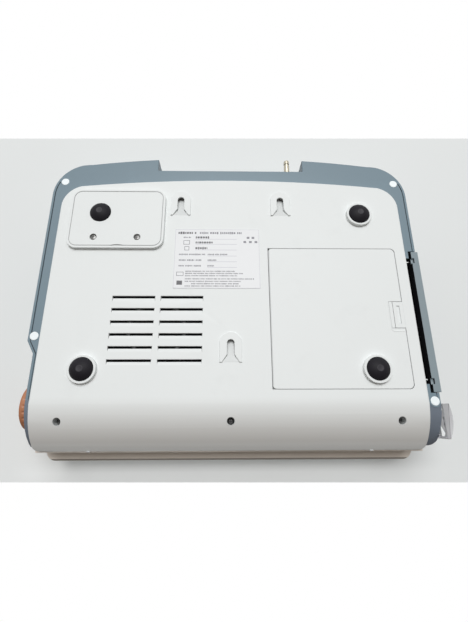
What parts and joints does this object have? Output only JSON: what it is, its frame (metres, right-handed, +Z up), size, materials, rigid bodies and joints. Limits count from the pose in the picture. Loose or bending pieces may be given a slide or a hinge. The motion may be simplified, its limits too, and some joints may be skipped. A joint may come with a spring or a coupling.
{
  "type": "patient monitor",
  "caption": "Desktop patient monitor with a folding screen, side printer, control knob, rubber feet, battery door and wall keyholes.",
  "frame": {"origin": "on the table plane under the middle of the bounding box", "axes": "+Z up, +Y to the rear panel, +X to the user's right"},
  "size_m": [0.3935, 0.312, 0.1],
  "materials": {
    "white_plastic": "fine matte texture",
    "grey_plastic": "fine matte texture",
    "black_plastic": "matte",
    "rubber": "matte",
    "steel": "bright",
    "brass": "nickelled",
    "label": "smooth film",
    "switch_green": "gloss",
    "shield": "satin",
    "socket": "satin",
    "orange": "satin",
    "clear": "translucent",
    "battery": "satin",
    "paper": "matte",
    "lcd": "matte",
    "glass": "gloss",
    "amber": "translucent",
    "board": "satin",
    "key": "satin"
  },
  "bodies": {
    "base": {"bottom_pan": "white_plastic", "skirt_frame": "grey_plastic", "top_housing": "white_plastic", "service_cover": "white_plastic", "service_cover_screws": "steel", "base_feet": "rubber", "front_screws": "steel", "rim_screws": "steel", "rim_plugs": "white_plastic", "rating_label": "label", "rear_panel": "grey_plastic", "ac_inlet": "black_plastic", "ac_inlet_pins": "steel", "fuse_holders": "black_plastic", "switch_frame": "black_plastic", "network_socket": "shield", "equipotential_post": "brass", "socket_panel": "grey_plastic", "probe_sockets": "socket", "encoder": "black_plastic", "battery_pack": "battery", "door_clips": "white_plastic", "printer_bay": "black_plastic", "paper_spindle": "black_plastic", "print_head": "steel", "feed_motor": "steel", "screen_hinge_brackets": "steel", "key_board": "board", "main_board": "board", "power_supply": "board", "measuring_module": "shield", "board_standoffs": "steel", "speaker": "black_plastic"},
    "screen": {"screen_back": "white_plastic", "lcd_panel": "lcd", "screen_glass": "glass", "screen_bezel": "white_plastic", "alarm_lamp": "amber", "screen_hinge_arms": "steel"},
    "battery_door": {"battery_door": "white_plastic", "battery_door_foot": "rubber"},
    "battery_latch": {"battery_latch": "white_plastic"},
    "printer_door": {"printer_door": "grey_plastic", "printer_door_liner": "black_plastic"},
    "door_button": {"door_button": "clear", "door_button_stem": "white_plastic"},
    "jog_knob": {"jog_knob": "orange"},
    "power_switch": {"power_switch": "switch_green"},
    "key_a": {"key_a": "key"},
    "key_b": {"key_b": "key"},
    "key_c": {"key_c": "key"},
    "key_d": {"key_d": "key"},
    "key_e": {"key_e": "key"},
    "key_f": {"key_f": "key"},
    "platen": {"platen_roller": "rubber"},
    "motor_pinion": {"motor_pinion": "steel"},
    "paper_roll": {"paper_roll": "paper"}
  },
  "joints": [
    {"name": "screen_tilt", "type": "hinge", "parent": "base", "child": "screen", "pos_m": [0, -0.089, 0.0955], "axis": [1, 0, 0], "range_deg": [0, 80]},
    {"name": "battery_door_swing", "type": "hinge", "parent": "base", "child": "battery_door", "pos_m": [-0.0382, -0.0274, 0.01], "axis": [0, -1, 0], "range_deg": [0, 90]},
    {"name": "battery_latch_slide", "type": "slide", "parent": "battery_door", "child": "battery_latch", "axis": [1, 0, 0], "range_m": [0, 0.003], "stiffness_N_per_m": 400},
    {"name": "printer_door_swing", "type": "hinge", "parent": "base", "child": "printer_door", "pos_m": [-0.182, -0.028, 0.02], "axis": [0, -1, 0], "range_deg": [0, 90]},
    {"name": "door_button_press", "type": "slide", "parent": "base", "child": "door_button", "axis": [1, 0, 0], "range_m": [0, 0.003], "stiffness_N_per_m": 500},
    {"name": "jog_turn", "type": "hinge", "parent": "base", "child": "jog_knob", "pos_m": [0.18, -0.1063, 0.0653], "axis": [1, 0, 0], "continuous": true},
    {"name": "power_rocker", "type": "hinge", "parent": "base", "child": "power_switch", "pos_m": [-0.008, 0.1306, 0.046], "axis": [1, 0, 0], "range_deg": [-8, 8]},
    {"name": "key_a_press", "type": "slide", "parent": "base", "child": "key_a", "axis": [0, 0, -1], "range_m": [0, 0.0015], "stiffness_N_per_m": 400},
    {"name": "key_b_press", "type": "slide", "parent": "base", "child": "key_b", "axis": [0, 0, -1], "range_m": [0, 0.0015], "stiffness_N_per_m": 400},
    {"name": "key_c_press", "type": "slide", "parent": "base", "child": "key_c", "axis": [0, 0, -1], "range_m": [0, 0.0015], "stiffness_N_per_m": 400},
    {"name": "key_d_press", "type": "slide", "parent": "base", "child": "key_d", "axis": [0, 0, -1], "range_m": [0, 0.0015], "stiffness_N_per_m": 400},
    {"name": "key_e_press", "type": "slide", "parent": "base", "child": "key_e", "axis": [0, 0, -1], "range_m": [0, 0.0015], "stiffness_N_per_m": 400},
    {"name": "key_f_press", "type": "slide", "parent": "base", "child": "key_f", "axis": [0, 0, -1], "range_m": [0, 0.0015], "stiffness_N_per_m": 400},
    {"name": "platen_turn", "type": "hinge", "parent": "base", "child": "platen", "pos_m": [-0.171, -0.028, 0.08198], "axis": [0, 1, 0], "continuous": true},
    {"name": "motor_turn", "type": "hinge", "parent": "base", "child": "motor_pinion", "pos_m": [-0.15844, 0.0425, 0.08098], "axis": [0, 1, 0], "continuous": true},
    {"name": "paper_turn", "type": "hinge", "parent": "base", "child": "paper_roll", "pos_m": [-0.158, -0.028, 0.062], "axis": [0, 1, 0], "continuous": true}
  ],
  "couplings": [
    {"joint": "motor_turn", "follows": "platen_turn", "ratio": -2},
    {"joint": "paper_turn", "follows": "platen_turn", "ratio": 0.27778}
  ]
}
